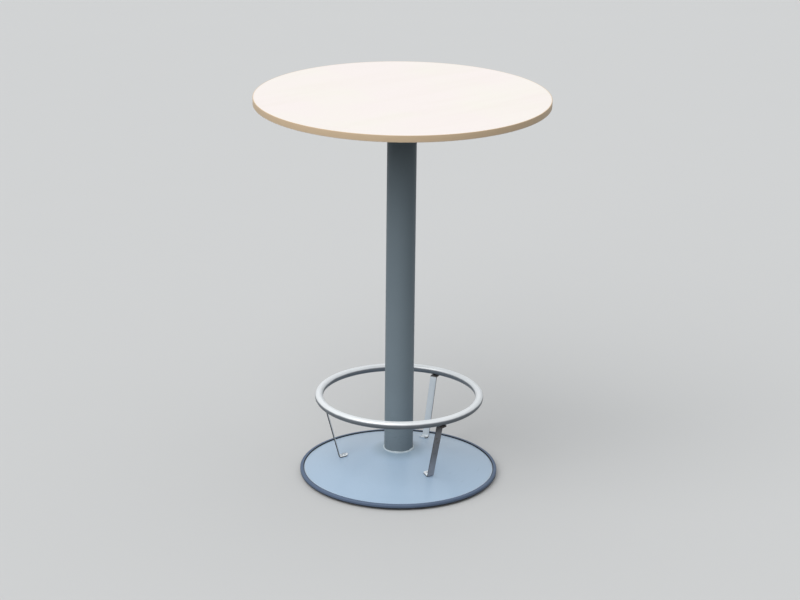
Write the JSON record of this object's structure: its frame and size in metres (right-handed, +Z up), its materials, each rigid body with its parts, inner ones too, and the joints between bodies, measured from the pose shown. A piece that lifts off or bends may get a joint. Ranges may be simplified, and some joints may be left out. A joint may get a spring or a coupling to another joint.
{
  "type": "pub table",
  "caption": "Round pub table: laminated top on a steel column, weighted domed base with a bumper rim, and a tubular foot ring on bent flat bars.",
  "frame": {"origin": "on the floor under the centre of the column", "axes": "+Z up along the column, -Y towards the viewer of the picture, +X to the viewer's right"},
  "size_m": [0.8, 0.8, 1.085],
  "materials": {
    "white_laminate": "satin laminate",
    "backing_laminate": "matt laminate",
    "board": "raw board",
    "edge_band": "satin",
    "column_paint": "satin metallic paint",
    "cover_paint": "satin metallic paint",
    "bumper_rubber": "satin",
    "bright_ring": "satin chrome",
    "bracket_steel": "satin",
    "black_casting": "painted casting",
    "zinc_steel": "zinc plated",
    "black_steel": "blackened",
    "pale_plastic": "moulded"
  },
  "bodies": {
    "table": {"top_core": "board", "top_laminate": "white_laminate", "underside_laminate": "backing_laminate", "edge_band": "edge_band", "top_spider": "black_casting", "top_screws": "zinc_steel", "column_tube": "column_paint", "column_foot_collar": "pale_plastic", "tie_rod": "zinc_steel", "tie_rod_top_washer": "zinc_steel", "tie_rod_top_nut": "zinc_steel", "tie_rod_bottom_washer": "zinc_steel", "tie_rod_bottom_nut": "zinc_steel", "base_cover": "cover_paint", "base_bumper": "bumper_rubber", "base_weight": "black_casting", "foot_ring": "bright_ring", "foot_ring_bosses": "black_steel", "ring_bracket_left": "bracket_steel", "ring_bracket_front": "bracket_steel", "ring_bracket_back": "bracket_steel", "bracket_foot_screws": "zinc_steel", "bracket_foot_nuts": "zinc_steel", "bracket_ring_screws": "black_steel"},
    "pad_1": {"glide_pad_1": "zinc_steel"},
    "stem_1": {"glide_stem_1": "zinc_steel"},
    "pad_2": {"glide_pad_2": "zinc_steel"},
    "stem_2": {"glide_stem_2": "zinc_steel"},
    "pad_3": {"glide_pad_3": "zinc_steel"},
    "stem_3": {"glide_stem_3": "zinc_steel"},
    "pad_4": {"glide_pad_4": "zinc_steel"},
    "stem_4": {"glide_stem_4": "zinc_steel"}
  },
  "joints": [
    {"name": "glide_1_height", "type": "slide", "parent": "table", "child": "pad_1", "axis": [0, 0, -1], "range_m": [0, 0.008]},
    {"name": "glide_1_turn", "type": "hinge", "parent": "pad_1", "child": "stem_1", "pos_m": [0.14489, 0.14489, 0], "axis": [0, 0, -1], "range_deg": [0, 2304]},
    {"name": "glide_2_height", "type": "slide", "parent": "table", "child": "pad_2", "axis": [0, 0, -1], "range_m": [0, 0.008]},
    {"name": "glide_2_turn", "type": "hinge", "parent": "pad_2", "child": "stem_2", "pos_m": [-0.14489, 0.14489, 0], "axis": [0, 0, -1], "range_deg": [0, 2304]},
    {"name": "glide_3_height", "type": "slide", "parent": "table", "child": "pad_3", "axis": [0, 0, -1], "range_m": [0, 0.008]},
    {"name": "glide_3_turn", "type": "hinge", "parent": "pad_3", "child": "stem_3", "pos_m": [-0.14489, -0.14489, 0], "axis": [0, 0, -1], "range_deg": [0, 2304]},
    {"name": "glide_4_height", "type": "slide", "parent": "table", "child": "pad_4", "axis": [0, 0, -1], "range_m": [0, 0.008]},
    {"name": "glide_4_turn", "type": "hinge", "parent": "pad_4", "child": "stem_4", "pos_m": [0.14489, -0.14489, 0], "axis": [0, 0, -1], "range_deg": [0, 2304]}
  ],
  "couplings": [
    {"joint": "glide_1_turn", "follows": "glide_1_height", "rad_per_m": 5026.5},
    {"joint": "glide_2_turn", "follows": "glide_2_height", "rad_per_m": 5026.5},
    {"joint": "glide_3_turn", "follows": "glide_3_height", "rad_per_m": 5026.5},
    {"joint": "glide_4_turn", "follows": "glide_4_height", "rad_per_m": 5026.5}
  ]
}
